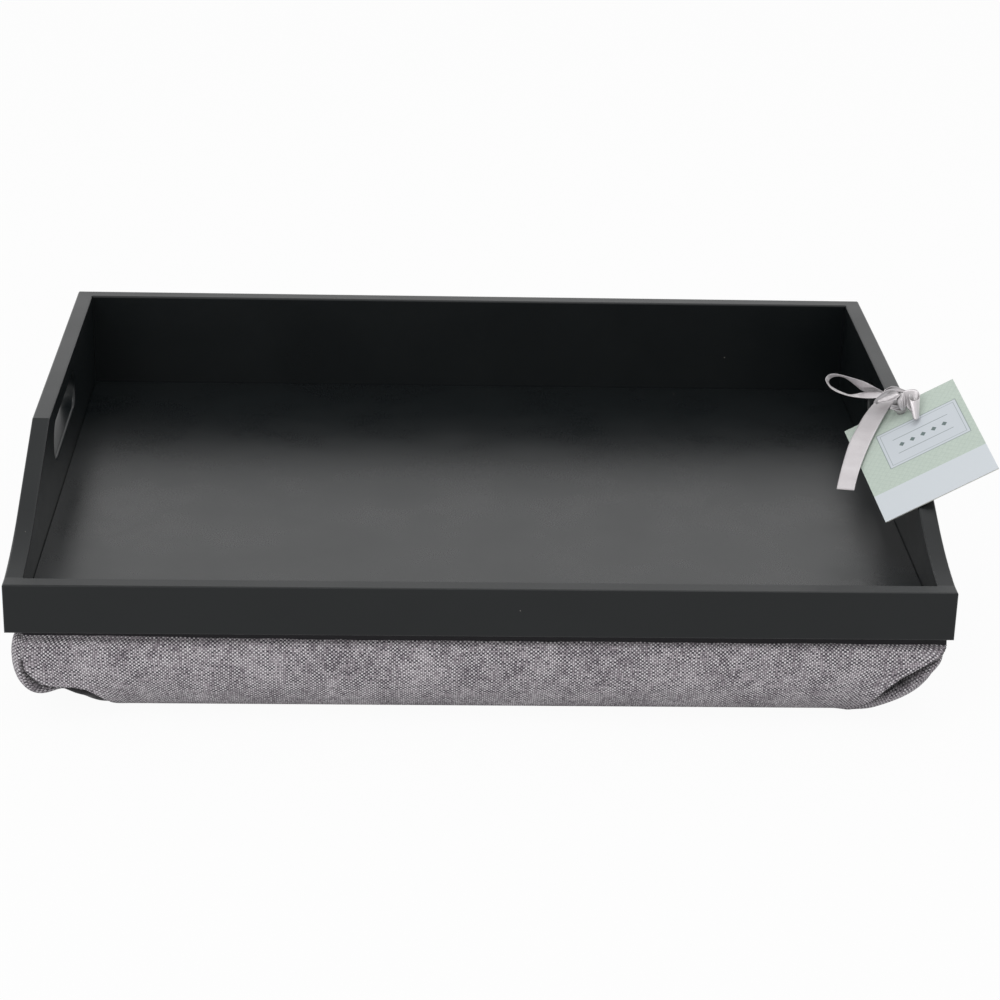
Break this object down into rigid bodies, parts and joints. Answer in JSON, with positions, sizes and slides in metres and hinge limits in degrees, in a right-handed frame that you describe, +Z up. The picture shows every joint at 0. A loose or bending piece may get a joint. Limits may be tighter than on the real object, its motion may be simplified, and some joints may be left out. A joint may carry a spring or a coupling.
{
  "type": "lap tray with cushion",
  "caption": "Open wooden lap tray with stepped sides and hand slots on a bead-filled linen cushion, with a card tag on a satin ribbon.",
  "frame": {"origin": "middle of the cushion's flat underside, on the surface that the tray rests on", "axes": "+X along the tray's width to the side with the tag, +Y to the high back wall, +Z up"},
  "size_m": [0.4901, 0.33, 0.1421],
  "materials": {
    "black_paint": "satin black paint on fibreboard",
    "black_floor": "satin black paint on fibreboard, smoother than the walls",
    "beech": "plain turned wood",
    "board": "bare hardboard",
    "linen": "grey melange linen-look weave",
    "steel": "bright wire",
    "liner": "thin non-woven cloth",
    "card": "matt printed card",
    "satin": "silver satin ribbon"
  },
  "bodies": {
    "tray": {"front_wall": "black_paint", "back_wall": "black_paint", "left_side_wall": "black_paint", "right_side_wall": "black_paint", "tray_floor": "black_floor", "corner_dowels": "beech", "cushion_panel": "board", "cushion_cover": "linen", "cover_staples": "steel", "bead_bag": "liner", "ribbon_band": "satin", "ribbon_knot": "satin", "ribbon_left_loop": "satin", "ribbon_right_loop": "satin", "ribbon_tail": "satin"},
    "tag": {"swing_tag": "card"}
  },
  "joints": [
    {"name": "tag_swing", "type": "hinge", "parent": "tray", "child": "tag", "pos_m": [0.2218, -0.0302, 0.1176], "axis": [-0.4573, -0.3235, 0.8284], "range_deg": [0, 30]}
  ]
}
